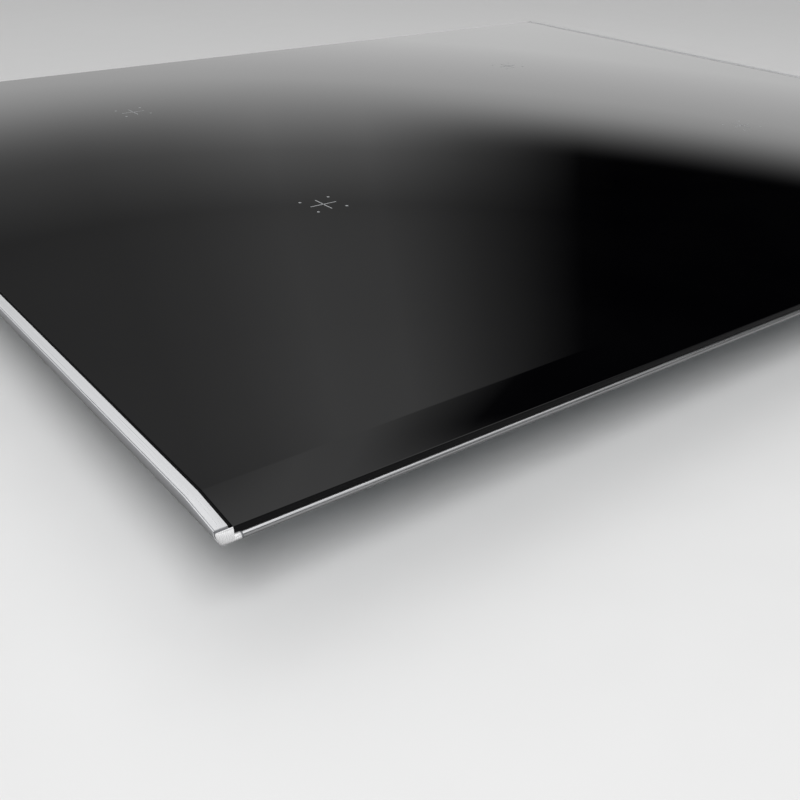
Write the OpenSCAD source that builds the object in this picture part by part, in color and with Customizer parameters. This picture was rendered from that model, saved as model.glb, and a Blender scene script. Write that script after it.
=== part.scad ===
// Built-in electric induction cooktop of the 600 mm class: a black glass plate with a bevelled
// front, framed by metal trims, over a sheet-metal housing with four coil units, a blower and
// the power electronics. Millimetres, +Z up, front towards -Y. The origin is the centre of the
// housing's underside.

/* [Overall] */
// Width over the two side trims
overall_w = 606; // [505:1:730]
// Depth over the front and rear trims
overall_d = 527; // [440:1:640]
// Height from the housing's underside to the cooking surface
overall_h = 51; // [48:1:62]
// Height of the rim that stands above the worktop
rim_h = 6.4; // [5.8:0.1:8]
// Width of the worktop cut-out's overlap at the sides
overlap_x = 24; // [22:0.5:30]
// Width of the worktop cut-out's overlap at front and rear
overlap_y = 19.5; // [19:0.5:26]

/* [Glass plate] */
// Thickness of the glass
glass_t = 4; // [3.5:0.1:4.8]
// Width of the bevel ground along the front edge
bevel_w = 16.8; // [10:0.1:24]
// How far the bevel falls from the cooking surface
bevel_drop = 1.73; // [1:0.01:2.4]
// Width of the small flat that breaks the front arris
arris = 0.3; // [0.1:0.05:0.6]

/* [Trims] */
// Width of the side trim's top face
side_trim_w = 4.2; // [3.5:0.1:7]
// Radius under the side trim's outer edge
side_trim_r = 2.8; // [1:0.1:3.2]
// Chamfer between the side trim's top and outer faces
side_trim_chamfer = 0.25; // [0.1:0.05:0.5]
// Width of the sealant between glass and side trim
sealant_w = 0.9; // [0.6:0.1:1.5]
// Height of the front and rear trims
end_trim_h = 2.2; // [1.8:0.1:2.3]
// How far the front and rear trims stand out past the glass
end_trim_nose = 0.8; // [0.5:0.1:1.5]
// Width of the trims' feet that lie under the glass
foot_w = 14; // [10:0.5:14]
// Length of a corner cap along the front
cap_l = 7; // [6:0.5:14]
// Thickness of the gasket between a corner cap and a side trim
side_joint = 1.1; // [0.4:0.1:1.6]
// Thickness of the gasket between a corner cap and an end trim
end_joint = 0.5; // [0.3:0.1:1]

/* [Frame and housing] */
// Thickness of the carrier frame's sheet
frame_t = 0.8; // [0.6:0.1:1.2]
// Depth of the frame's skirt below the worktop's surface
skirt_h = 10; // [8:0.5:14]
// Thickness of the housing's sheet
tray_t = 1; // [0.8:0.1:1.5]
// Step from the frame's skirt in to the housing's side walls
step_x = 27; // [24:0.5:34]
// Step from the frame's skirt in to the housing's front and rear walls
step_y = 45; // [24:0.5:46]
// Width of the housing's flange
tray_flange = 12; // [10:0.5:16]
// Width of one ventilation slot
slot_w = 3; // [2:0.5:5]
// Distance between ventilation slots
slot_pitch = 7; // [6:0.5:12]

/* [Coil units] */
// Outer radius of the front left winding
coil_r_front_left = 100; // [70:1:104]
// Outer radius of the rear left winding
coil_r_rear_left = 68; // [60:1:84]
// Outer radius of the front right winding
coil_r_front_right = 84; // [65:1:90]
// Outer radius of the rear right winding
coil_r_rear_right = 84; // [65:1:90]
// Inner radius of each winding
coil_r_in = 20; // [18:1:26]
// Height of the winding
winding_t = 3.6; // [3:0.1:4.5]
// Distance between two turns of the winding
turn_pitch = 4; // [3:0.5:6]
// Thickness of the coil carrier
carrier_t = 2.4; // [2:0.1:3]
// Size of a ferrite bar: width and height
ferrite = [12, 3]; // [2:1:14]
// Travel left under a coil unit, which its springs take up
coil_travel = 1.5; // [1:0.1:2]
// Thickness of the aluminium shield plate
shield_t = 1.5; // [1:0.1:2]

/* [Control unit] */
// Length of the touch control's carrier
control_l = 236; // [160:1:240]
// Depth of the touch control's carrier
control_d = 34; // [28:1:36]

/* [Electronics] */
// Height of the power board above the housing's floor
board_z = 8; // [6:0.5:10]
// Thickness of the circuit boards
board_t = 1.6; // [1.2:0.1:2]
// Height of the heat sink
sink_h = 17; // [12:0.5:18]
// Radius of the blower's rotor
rotor_r = 42; // [34:1:44]
// Height of the blower's rotor
rotor_h = 15; // [10:0.5:16]
// Radius of the blower's shaft
shaft_r = 2.5; // [2:0.1:3.5]

/* [Terminal box] */
// Bore radius of the mains cable inlet
inlet_r = 8; // [6:0.5:9]
// Length of the inlet's collar
inlet_l = 10; // [8:0.5:14]
// Size of the terminal box's lid: width and height
lid = [64, 20]; // [16:1:70]
// Thickness of the lid
lid_t = 2; // [1.5:0.1:2.5]
// Radius of the lid's hinge pin
pin_r = 1.2; // [1:0.1:1.5]

/* [Clamps] */
// Length of a clamp's arm from its pivot
clamp_l = 31; // [28:1:34]
// Width of a clamp
clamp_w = 16; // [12:0.5:20]
// Thickness of a clamp
clamp_t = 2; // [1.5:0.1:3]
// Radius of a clamp's screw
clamp_screw_r = 2.5; // [2:0.1:3]
// Distance of the clamps from the middle of the side
clamp_y = 120; // [90:1:150]

/* [Hidden] */

$fn = 64;
fine = 0.1;      // play between pieces that lie side by side
running = 0.05;  // play between a shaft and its bore
past = 1;        // how far a cutter runs past what it cuts

// Levels of the rim, from the cooking surface down
half_w = overall_w / 2;
half_d = overall_d / 2;
seat_z = overall_h - rim_h;
glass_z = overall_h - glass_t;
glue_t = 0.2;
foot_top = glass_z - glue_t;
foot_z = seat_z + 0.4;
glass_front = -half_d + end_trim_nose;
glass_half_w = half_w - side_trim_w - sealant_w;

// Levels of the frame and housing
frame_z = seat_z + (glass_z - seat_z - frame_t) / 2; // foam strip below, adhesive bead above
skirt_z = seat_z - skirt_h;
flange_in = foot_w + 0.5;
seal_w = 4;
tray_half_w = half_w - overlap_x - step_x;
tray_half_d = half_d - overlap_y - step_y;
tray_in_w = tray_half_w - tray_t;
tray_in_d = tray_half_d - tray_t;
wall_r = 6;

// Levels of the coil units
mica_t = 0.6;
mica_z = glass_z - fine - mica_t;
winding_z = mica_z - winding_t;
carrier_z = winding_z - carrier_t;
ferrite_z = carrier_z - ferrite[1];
spring_room = 4.5; // height left for a spring under the ferrites at full travel
shield_z = ferrite_z - coil_travel - spring_room - shield_t;
shield_top = shield_z + shield_t;
spring_r = 4.5;
spring_wire = 0.45;
spring_turns = 4;
peg_r = spring_r - 2 * spring_wire - 0.6;
peg_h = 2;
sensor_r = 9;
sensor_hole_r = sensor_r + 6;

// Places of the coil units, which share what the control unit and the frame leave free
control_front = -half_d + overlap_y + frame_t + 2;
control_rear = control_front + control_d;
coil_rim = 3;
rear_limit = half_d - overlap_y - frame_t - fine;
function coil_gap(front_r, rear_r) =
    (rear_limit - control_rear - 2 * (front_r + rear_r + 2 * coil_rim)) / 3;
function front_coil_y(front_r, rear_r) = control_rear + coil_gap(front_r, rear_r) + front_r + coil_rim;
function rear_coil_y(front_r, rear_r) = rear_limit - coil_gap(front_r, rear_r) - rear_r - coil_rim;
coil_x = (half_w - overlap_x - frame_t) * 0.52;
FRONT_LEFT = [-coil_x, front_coil_y(coil_r_front_left, coil_r_rear_left), coil_r_front_left];
REAR_LEFT = [-coil_x, rear_coil_y(coil_r_front_left, coil_r_rear_left), coil_r_rear_left];
FRONT_RIGHT = [coil_x, front_coil_y(coil_r_front_right, coil_r_rear_right), coil_r_front_right];
REAR_RIGHT = [coil_x, rear_coil_y(coil_r_front_right, coil_r_rear_right), coil_r_rear_right];
COILS = [FRONT_LEFT, REAR_LEFT, FRONT_RIGHT, REAR_RIGHT];

// Places inside the housing
base_t = 2;
base_top = tray_t + base_t;
post_r = 5;
board_half = [tray_in_w - 26, tray_in_d - 100];
board_front = -tray_in_d + 20;
board_mid_y = board_front + board_half[1];
board_top = board_z + board_t;
fan_x = -tray_in_w + 72;
fan_y = tray_in_d - 66;
fan_z = base_top;
scroll_t = 2;
sink_w = 56;
sink_l = 150;
sink_x = fan_x - 6;
sink_y = board_mid_y - 10;
box_x = tray_in_w - 80;
box_w = 112;
box_d = 44;
box_t = 2;
box_top = 29;
lid_x = box_x - 14;
inlet_x = box_x + 38;
inlet_z = 15;
hinge_z = 5;
hinge_y = tray_half_d + 2.6;
ear_r = 2;
lid_gap = 2.4;
lid_z = hinge_z + lid_gap;

// Clamps and their screws
pivot_x = half_w - overlap_x - step_x / 2;
head_r = clamp_screw_r + 2;
head_h = 3;
nut_r = 3.9;
clamp_z = 9;

// A profile in Y and Z, drawn out along X
module along_x(x0, x1) {
    translate([x0, 0, 0]) rotate([90, 0, 90]) linear_extrude(x1 - x0) children();
}

// A profile in X and Z, drawn out along Y
module along_y(y0, y1) {
    translate([0, y1, 0]) rotate([90, 0, 0]) linear_extrude(y1 - y0) children();
}

module box(from, to) {
    translate(from) cube(to - from);
}

module plate(half, z0, z1, r) {
    translate([0, 0, z0]) linear_extrude(z1 - z0) rounded(half, r);
}

// A rectangle about the origin with round corners
module rounded(half, r) {
    square(2 * [half[0] - r, half[1]], center = true);
    square(2 * [half[0], half[1] - r], center = true);
    for (sx = [-1, 1], sy = [-1, 1]) translate([sx * (half[0] - r), sy * (half[1] - r)]) circle(r);
}

module ring(half, width, z0, z1, r) {
    difference() {
        plate(half, z0, z1, r);
        plate(half - [width, width], z0 - past, z1 + past, max(r - width, 0.5));
    }
}

module tube(r_out, r_in, z0, z1) {
    translate([0, 0, z0]) difference() {
        cylinder(r = r_out, h = z1 - z0);
        translate([0, 0, -past]) cylinder(r = r_in, h = z1 - z0 + 2 * past);
    }
}

module rod(r, z0, z1) {
    translate([0, 0, z0]) cylinder(r = r, h = z1 - z0);
}

// What lies above the bevel's plane, lowered by a margin
module above_bevel(lower = 0) {
    slope = bevel_drop / bevel_w;
    reach = 8;
    along_x(-half_w - past, half_w + past) polygon([
        [glass_front - reach, overall_h - bevel_drop - reach * slope - lower],
        [glass_front + bevel_w, overall_h - lower],
        [glass_front + bevel_w, overall_h + reach],
        [glass_front - reach, overall_h + reach]
    ]);
}

/* ---- rim ---- */

module glass_plate() {
    edge_top = overall_h - bevel_drop;
    color("#101112") along_x(-glass_half_w, glass_half_w) polygon([
        [glass_front, glass_z],
        [-glass_front, glass_z],
        [-glass_front, overall_h - arris],
        [-glass_front - arris, overall_h],
        [glass_front + bevel_w, overall_h],
        [glass_front + arris, edge_top],
        [glass_front, edge_top - arris]
    ]);
}

// The side trim's head, measured in from its outer face and up from the worktop
module head_profile(inset = 0) {
    r = side_trim_r;
    difference() {
        intersection() {
            box2(inset, inset, side_trim_w - inset, rim_h - inset);
            union() {
                translate([r, 0]) square([side_trim_w, rim_h]);
                translate([0, r]) square([side_trim_w, rim_h]);
                translate([r, r]) circle(r - inset);
            }
        }
        translate([0, rim_h]) rotate(45) square(side_trim_chamfer * sqrt(2), center = true);
    }
}

module side_trim() {
    start = glass_front + side_joint;
    notch = 13;
    color("#d3d5d8") difference() {
        union() {
            along_y(start, -start) translate([-half_w, seat_z]) head_profile();
            box([-half_w + side_trim_r, start + notch, foot_z],
                [-half_w + foot_w, -start - notch, foot_top]);
        }
        above_bevel();
        // The chamfer follows the top face down the bevel
        translate([-half_w, glass_front + bevel_w, overall_h])
            rotate([atan(bevel_drop / bevel_w), 0, 0]) rotate([0, 45, 0])
                translate([-side_trim_chamfer / sqrt(2), -bevel_w - 10, -side_trim_chamfer / sqrt(2)])
                    cube([side_trim_chamfer * sqrt(2), bevel_w + 10, side_trim_chamfer * sqrt(2)]);
    }
}

// The end trim's half-round nose, with a rebate where a thick glass plate reaches below its top
module nose_profile(inset = 0) {
    r = end_trim_h / 2;
    difference() {
        union() {
            translate([-half_d + r, seat_z + inset]) square([r + 1, end_trim_h - 2 * inset]);
            translate([-half_d + r, seat_z + r]) circle(r - inset);
        }
        if (seat_z + end_trim_h > foot_top + glue_t / 2)
            box2(glass_front - fine, foot_top - inset, glass_front + end_trim_h + past,
                seat_z + end_trim_h + past);
    }
}

module front_trim() {
    reach = half_w - cap_l - end_joint;
    color("#c9cbcf") along_x(-reach, reach) {
        nose_profile();
        translate([-half_d + end_trim_h, foot_z]) square([foot_w - end_trim_h, foot_top - foot_z]);
    }
}

// The front of a corner cap in Y and Z: it falls from the cap's top out to the end trim's nose
module cap_front(top) {
    mid = seat_z + end_trim_h / 2;
    nose_profile();
    polygon(concat(
        [for (a = [0:15:90]) [-half_d + (end_trim_nose - fine) * (1 - sin(a)), mid + (top - mid) * cos(a)]],
        [[glass_front + past, mid], [glass_front + past, top]]));
}

// A corner cap: a rounded end that closes the side trim, a nose that meets the end trim, and a
// tongue that is glued under the glass
module corner_cap(top) {
    inner_x = -glass_half_w - fine;
    color("#dcdddf") union() {
        intersection() {
            along_y(-half_d - past, glass_front - fine) union() {
                translate([-half_w, seat_z]) head_profile();
                box2(-half_w + side_trim_r, seat_z, inner_x, top);
            }
            along_x(-half_w - past, inner_x) cap_front(top);
        }
        along_x(inner_x, -half_w + cap_l) nose_profile();
        box([inner_x, -half_d + end_trim_h / 2, foot_z], [-half_w + cap_l, -half_d + foot_w, foot_top]);
    }
}

module box2(x0, y0, x1, y1) {
    translate([x0, y0]) square([x1 - x0, y1 - y0]);
}

module joint_gaskets() {
    inset = 0.15;
    color("#5d5e61") for (sx = [0, 1]) mirror([sx, 0, 0]) {
        for (sy = [0, 1]) mirror([0, sy, 0]) {
            difference() {
                along_y(glass_front - fine, glass_front + side_joint)
                    translate([-half_w, seat_z]) head_profile(inset);
                if (sy == 0) above_bevel(inset);
            }
            along_x(-half_w + cap_l, -half_w + cap_l + end_joint) nose_profile(inset);
        }
    }
}

module edge_sealant() {
    start = glass_front + side_joint;
    color("#0b0b0c") for (sx = [0, 1]) mirror([sx, 0, 0]) difference() {
        box([-half_w + side_trim_w, start, glass_z + fine], [-glass_half_w, -start, overall_h - 0.3]);
        above_bevel(0.3);
    }
}

/* ---- frame and housing ---- */

module worktop_seal() {
    color("#1b1b1c") ring([half_w - flange_in, half_d - flange_in], seal_w, seat_z, frame_z, 4);
}

module bonding_bead() {
    color("#222222") ring([half_w - flange_in - 0.5, half_d - flange_in - 0.5], 3,
        frame_z + frame_t, glass_z, 3);
}

module carrier_frame() {
    skirt = [half_w - overlap_x, half_d - overlap_y];
    top = frame_z + frame_t;
    opening = [tray_half_w - 2, tray_half_d - 2];
    color("#aeb2b5") difference() {
        union() {
            plate([half_w - flange_in, half_d - flange_in], frame_z, top, 4);
            plate(skirt, skirt_z, top, 5);
        }
        plate(skirt - [frame_t, frame_t], skirt_z + frame_t, top + past, 4);
        plate(opening, skirt_z - past, top, 4);
        for (p = tray_screw_places()) translate([p[0], p[1], 0]) rod(2, skirt_z - past, skirt_z + 2);
        for (p = clamp_places()) translate([p[0], p[1], 0]) rod(4, skirt_z - past, skirt_z + 2);
    }
}

function tray_screw_places() = concat(
    [for (sx = [-1, 0, 1], sy = [-1, 1]) [sx * (tray_half_w - 30), sy * (tray_half_d + tray_flange - 5)]],
    [for (sx = [-1, 1], sy = [-1, 1]) [sx * (tray_half_w + tray_flange - 5), sy * (tray_half_d - 30)]]);
function clamp_places() = [for (sx = [-1, 1], sy = [-1, 1]) [sx * pivot_x, sy * clamp_y]];

module slots_x(from_x, to_x, y, z0, z1) {
    n = floor((to_x - from_x) / slot_pitch);
    for (i = [0:n - 1]) translate([from_x + i * slot_pitch, y, 0])
        box([0, -2 * tray_t, z0], [slot_w, 2 * tray_t, z1]);
}

module slots_y(from_y, to_y, x, z0, z1) {
    n = floor((to_y - from_y) / slot_pitch);
    for (i = [0:n - 1]) translate([x, from_y + i * slot_pitch, 0])
        box([-2 * tray_t, 0, z0], [2 * tray_t, slot_w, z1]);
}

module housing_tray() {
    vent = [10, 24];
    grille_r = rotor_r - 6;
    color("#b4b7b9") difference() {
        union() {
            plate([tray_half_w, tray_half_d], 0, skirt_z, wall_r);
            plate([tray_half_w + tray_flange, tray_half_d + tray_flange],
                skirt_z - tray_t, skirt_z, wall_r);
        }
        plate([tray_in_w, tray_in_d], tray_t, skirt_z + past, wall_r - tray_t);
        for (p = tray_screw_places()) translate([p[0], p[1], 0]) rod(2.2, skirt_z - 3, skirt_z + past);
        for (p = clamp_places()) translate([p[0], p[1], 0]) rod(6, skirt_z - 3, skirt_z + past);
        // Outlets in the front and side walls, inlets in the rear wall
        slots_x(-tray_in_w + 30, tray_in_w - 30, -tray_half_d, vent[0], vent[1]);
        for (sx = [-1, 1]) slots_y(-tray_in_d + 24, 0, sx * tray_half_w, vent[0], vent[1]);
        slots_x(-tray_in_w + 30, lid_x - lid[0] / 2 - 14, tray_half_d, vent[0], vent[1]);
        // Blower inlet
        translate([fan_x, fan_y, 0]) for (i = [-5:5])
            let (y = i * grille_r / 5.6, w = sqrt(grille_r * grille_r - y * y))
                box([-w, y - 1.6, -past], [w, y + 1.6, 2 * tray_t]);
        // Terminal lid's window and cable inlet
        box([lid_x - lid[0] / 2, tray_half_d - 2 * tray_t, hinge_z - 2.4],
            [lid_x + lid[0] / 2, tray_half_d + past, lid_z + lid[1] + 1]);
        translate([inlet_x, tray_half_d, inlet_z]) rotate([90, 0, 0])
            rod(inlet_r + 3 + fine, -past, 3 * tray_t);
    }
}

module pan_screw(r, head, up) {
    rod(r, 0, up);
    rod(head, -2, 0);
}

module tray_screws() {
    color("#c2c4c6") for (p = tray_screw_places()) translate([p[0], p[1], skirt_z - tray_t])
        difference() {
            pan_screw(1.9, 3.6, tray_t + frame_t + 1.5);
            for (a = [0, 90]) rotate(a) box([-2.2, -0.5, -3], [2.2, 0.5, -1]);
        }
}

module shield_plate() {
    color("#c6c9cc") difference() {
        union() {
            plate([tray_in_w - 1, tray_in_d - 1], shield_z, shield_top, wall_r - 2);
            for (c = COILS, p = spring_places(c)) translate(p)
                rod(peg_r, shield_top - fine, shield_top + peg_h);
        }
        for (c = COILS) translate([c[0], c[1], 0]) rod(sensor_hole_r, shield_z - past, shield_top + past);
        for (c = COILS) translate([lead_x(c), c[1], 0]) rod(lead_r + 2, shield_z - past, shield_top + past);
        box([control_x + 10, cable_y - 3, shield_z - past], [control_x + 34, cable_y + 3, shield_top + past]);
        for (p = post_places()) translate([p[0], p[1], 0]) rod(1.6, shield_z - past, shield_top + past);
    }
}

/* ---- coil units ---- */

function spring_places(c) = [for (a = [0:120:240]) [c[0], c[1], 0] + 0.62 * c[2] * [cos(a), sin(a), 0]];

// Turns of litz wire side by side, drawn as one annulus with a groove between neighbours
module winding(c) {
    n = floor((c[2] - coil_r_in) / turn_pitch);
    pitch = (c[2] - coil_r_in) / n;
    groove = 0.5;
    top = [for (i = [0:n - 1]) let (x = coil_r_in + i * pitch) each [
        [x, winding_t - groove], [x + groove, winding_t], [x + pitch - groove, winding_t]]];
    bottom = [for (i = [n - 1:-1:0]) let (x = coil_r_in + i * pitch) each [
        [x + pitch, groove], [x + pitch - groove, 0], [x + groove, 0]]];
    color("#b3672e") translate([c[0], c[1], winding_z]) rotate_extrude($fn = 96)
        polygon(concat(top, [[c[2], winding_t - groove]], bottom, [[coil_r_in, groove]]));
}

module coil_carrier(c) {
    r = c[2] + coil_rim;
    color("#d9d4c4") difference() {
        translate([c[0], c[1], 0]) difference() {
            rod(r, carrier_z, carrier_z + carrier_t);
            rod(sensor_r + fine, carrier_z - past, carrier_z + carrier_t + past);
            for (k = [0:8]) rotate(40 * k) translate([0.42 * c[2], 0, 0])
                box([0, -3, carrier_z - past], [0.1 * c[2], 3, carrier_z + carrier_t + past]);
        }
    }
    color("#d9d4c4") for (p = spring_places(c)) translate(p)
        rod(peg_r, carrier_z - peg_h, carrier_z + fine);
}

module ferrites(c) {
    color("#3a3b3d") for (k = [0:8]) translate([c[0], c[1], ferrite_z]) rotate(20 + 40 * k)
        box([sensor_r + 12, -ferrite[0] / 2 + 1, 0], [c[2] - 3, ferrite[0] / 2 - 1, ferrite[1]]);
}

module mica(c) {
    color("#cdbf9a") translate([c[0], c[1], 0]) tube(c[2] + 2, sensor_r + 3, mica_z, mica_z + mica_t);
}

// A silicone boot that holds the temperature sensor against the glass
module pan_sensor(c) {
    flange_r = sensor_r + 2.5;
    flange_t = 2;
    tip_r = 5;
    tip_h = 1;
    color("#b9bcc0") translate([c[0], c[1], 0]) {
        rod(sensor_r, carrier_z, mica_z - tip_h);
        rod(flange_r, carrier_z - flange_t, carrier_z);
        rod(tip_r, mica_z - tip_h, mica_z + mica_t);
    }
}

// Points of a tube's rings that follow a path; across is the way the path never runs
function unit(v) = v / norm(v);
function tangent(path, i) = unit(path[min(i + 1, len(path) - 1)] - path[max(i - 1, 0)]);
function ring_points(path, r, sides, across) = [for (i = [0:len(path) - 1])
    let (t = tangent(path, i), s = unit(cross(across, t)), u = cross(t, s))
    for (k = [0:sides - 1]) let (a = 360 * k / sides) path[i] + r * (cos(a) * s + sin(a) * u)];
function tube_faces(rings, sides) = concat(
    [[for (k = [0:sides - 1]) k]],
    [for (i = [0:rings - 2], k = [0:sides - 1]) let (a = i * sides, b = a + sides, n = (k + 1) % sides)
        each [[a + k, b + n, a + n], [a + k, b + k, b + n]]],
    [[for (k = [sides - 1:-1:0]) (rings - 1) * sides + k]]);

module sweep(path, r, sides, across = [0, 0, 1]) {
    polyhedron(ring_points(path, r, sides, across), tube_faces(len(path), sides), convexity = 6);
}

module springs(c) {
    low = shield_top + spring_wire + running;
    high = carrier_z - spring_wire - running;
    steps = 12 * spring_turns;
    color("#9fa3a6") for (p = spring_places(c)) translate(p) sweep([for (i = [0:steps]) [
        (spring_r - spring_wire) * cos(360 * spring_turns * i / steps),
        (spring_r - spring_wire) * sin(360 * spring_turns * i / steps),
        low + (high - low) * i / steps]], spring_wire, 6);
}

/* ---- control unit ---- */

control_z = skirt_z + frame_t + 2;
control_x = half_w - overlap_x - frame_t - 6 - control_l;
control_wall = 1.5;
control_board_z = control_z + control_wall + 2.5;
cable_y = max(control_rear + 2, board_front + 5); // where the flat cable comes down on the power board

module control_carrier() {
    top = glass_z - fine;
    color("#242527") difference() {
        box([control_x, control_front, control_z], [control_x + control_l, control_rear - fine, top]);
        box([control_x + control_wall, control_front + control_wall, control_z + control_wall],
            [control_x + control_l - control_wall, control_rear - fine - control_wall, top + past]);
        // Cable notch
        box([control_x + 10, control_rear - 4, control_board_z - 1.5],
            [control_x + 34, control_rear + past, control_board_z + 0.5]);
    }
    color("#242527") for (x = [control_x + 8, control_x + control_l / 2, control_x + control_l - 8])
        translate([x, (control_front + control_rear) / 2, 0])
            rod(3, skirt_z + frame_t, control_z);
}

module control_board() {
    z = control_board_z;
    clear = control_wall + 0.3;
    mid_y = (control_front + control_rear) / 2;
    keys = 11;
    key_r = 4;
    key_margin = 18;
    display = [12, 9];
    display_margin = 40;
    color("#1f5a37") difference() {
        box([control_x + clear, control_front + clear, z],
            [control_x + control_l - clear, control_rear - clear - fine, z + board_t]);
        for (x = [control_x + 8, control_x + control_l - 8]) translate([x, mid_y + 9, 0])
            rod(1.6, z - past, z + board_t + past);
    }
    // Sprung touch pads, then the digit displays behind the glass
    key_pitch = (control_l - 2 * key_margin) / (keys - 1);
    display_pitch = (control_l - 2 * display_margin - display[0]) / 3;
    color("#8f9295") for (i = [0:keys - 1])
        translate([control_x + key_margin + i * key_pitch, mid_y - 6, 0])
            rod(key_r, z + board_t, glass_z - fine);
    color("#2b2b2b") for (i = [0:3])
        translate([control_x + display_margin + i * display_pitch, mid_y + 2, z + board_t])
            cube([display[0], display[1], glass_z - 1 - z - board_t]);
}

/* ---- electronics ---- */

function post_places() = [for (sx = [-1, 1], sy = [-1, 1]) [sx * (tray_in_w - 12), sy * (tray_in_d - 12)],
    [20, tray_in_d - 20], [20, -tray_in_d + 12]];
function board_posts() = [for (sx = [-1, 1], sy = [-1, 1])
    [sx * (board_half[0] - 8), board_mid_y + sy * (board_half[1] - 8)]];

module electronics_base() {
    color("#2a2b2d") difference() {
        union() {
            plate([tray_in_w - 0.5, tray_in_d - 0.5], tray_t, base_top, wall_r - 2);
            for (p = post_places()) translate([p[0], p[1], 0]) rod(post_r, tray_t, shield_z);
            for (p = board_posts()) translate([p[0], p[1], 0]) rod(4, tray_t, board_z);
        }
        for (p = post_places()) translate([p[0], p[1], 0]) rod(1.4, shield_z - 12, shield_z + past);
        for (p = board_posts()) translate([p[0], p[1], 0]) rod(1.4, base_top, board_z + past);
        translate([fan_x, fan_y, 0]) rod(rotor_r - 5, -past, base_top + past);
        // Room for the terminal box
        box([box_x - box_w / 2 - fine, tray_half_d - box_d, 0],
            [box_x + box_w / 2 + fine, tray_half_d, base_top + past]);
    }
}

module power_board() {
    color("#2f6b41") difference() {
        translate([0, board_mid_y, 0]) plate(board_half, board_z, board_top, 3);
        for (p = board_posts()) translate([p[0], p[1], 0]) rod(1.6, board_z - past, board_top + past);
    }
}

module heat_sink() {
    fins = 9;
    fin_t = 1.6;
    pitch = (sink_w - fin_t) / (fins - 1);
    color("#c3c7cb") translate([sink_x - sink_w / 2, sink_y, board_top]) along_y(-sink_l / 2, sink_l / 2) {
        square([sink_w, 3]);
        for (i = [0:fins - 1]) translate([i * pitch, 0]) square([fin_t, sink_h]);
    }
}

// Five packages stand against the heat sink's side, each on three legs
module transistors() {
    body_t = 5;
    body_w = 16;
    pitch = 27;
    leg_pitch = 5;
    leg_w = 1.2;
    leg_l = 0.8;
    color("#1d1e20") for (i = [-2:2]) translate([sink_x + sink_w / 2, sink_y + i * pitch, board_top]) {
        box([0, -body_w / 2, leg_l], [body_t, body_w / 2, sink_h]);
        for (k = [-1:1]) translate([1.8, k * leg_pitch - leg_w / 2, 0]) cube([leg_w, leg_w, leg_l]);
    }
}

// Film capacitors left of the strip that the coil leads run in, electrolytics right of it
module capacitors() {
    film = [32, 26, 16];
    film_pitch = [42, 40];
    film_x = sink_x + sink_w / 2 + 17;
    can_r = 12;
    can_h = 17;
    can_pitch = 34;
    line = [18, 34, 15];
    line_pitch = 52;
    line_x = lead_strip + 108;
    color("#2d4f7c") for (i = [0:1], j = [0:2])
        translate([film_x + i * film_pitch[0], board_mid_y - 78 + j * film_pitch[1], board_top]) cube(film);
    color("#33383d") for (j = [0:2])
        translate([lead_strip + can_r + 4, board_mid_y - 60 + j * can_pitch, board_top])
            rod(can_r, 0, can_h);
    color("#2d4f7c") for (j = [0:1])
        translate([line_x, board_mid_y - 64 + j * line_pitch, board_top]) cube(line);
}

module toroid(r_mid, r_wire) {
    rotate_extrude($fn = 96) translate([r_mid, r_wire]) circle(r_wire);
}

// Two filter chokes between the capacitors and a smaller one behind them
module chokes() {
    filter = [15, 7];
    small = [12, 6];
    color("#a9612c") {
        for (j = [0:1]) translate([lead_strip + 62, board_mid_y - 48 + j * 50, board_top])
            toroid(filter[0], filter[1]);
        translate([lead_strip + 60, board_mid_y + 58, board_top]) toroid(small[0], small[1]);
    }
}

/* ---- blower ---- */

// The scroll's radius grows steadily round the rotor
function scroll_radius(a) = rotor_r + 4 + 13 * a / 300;

// The scroll's plan: round to 300 degrees, then straight out to the front
function scroll_plan(grow, tip) = concat(
    [for (a = [0:10:300]) (scroll_radius(a) + grow) * [cos(a), sin(a)]],
    [[scroll_radius(300) * cos(300) + scroll_t, -scroll_radius(300) - tip],
        [rotor_r + 4 + grow, -scroll_radius(300) - tip]]);

module fan_housing() {
    top = fan_z + rotor_h + 3;
    boss_r = 12;
    color("#303235") translate([fan_x, fan_y, 0]) difference() {
        translate([0, 0, fan_z]) linear_extrude(top - fan_z + scroll_t) polygon(scroll_plan(scroll_t, 8));
        translate([0, 0, fan_z - past]) linear_extrude(top - fan_z + past) polygon(scroll_plan(0, 9));
    }
    // Shaft that hangs from the cover
    color("#303235") translate([fan_x, fan_y, 0]) {
        rod(shaft_r, fan_z + 1, top + scroll_t);
        rod(boss_r, top - 1, top + fine);
    }
}

module fan_rotor() {
    blades = 30;
    blade = [8, 1];
    blade_turn = 24;
    hub_r = 14;
    rim_w = 6;
    rim_t = 1.5;
    lap = 0.4;
    low = fan_z + 1;
    high = low + rotor_h;
    color("#3c3f43") translate([fan_x, fan_y, 0]) {
        tube(rotor_r, shaft_r + running, high - rim_t, high);
        tube(hub_r, shaft_r + running, low + 2, high - rim_t + lap);
        tube(rotor_r, rotor_r - rim_w, low, low + rim_t);
        for (k = [0:blades - 1]) rotate(360 * k / blades) translate([rotor_r - 9, 0, low + rim_t - lap])
            rotate(blade_turn) translate([0, -blade[1] / 2, 0])
                cube([blade[0], blade[1], rotor_h - 2 * rim_t + 2 * lap]);
    }
}

/* ---- mains connection ---- */

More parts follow.
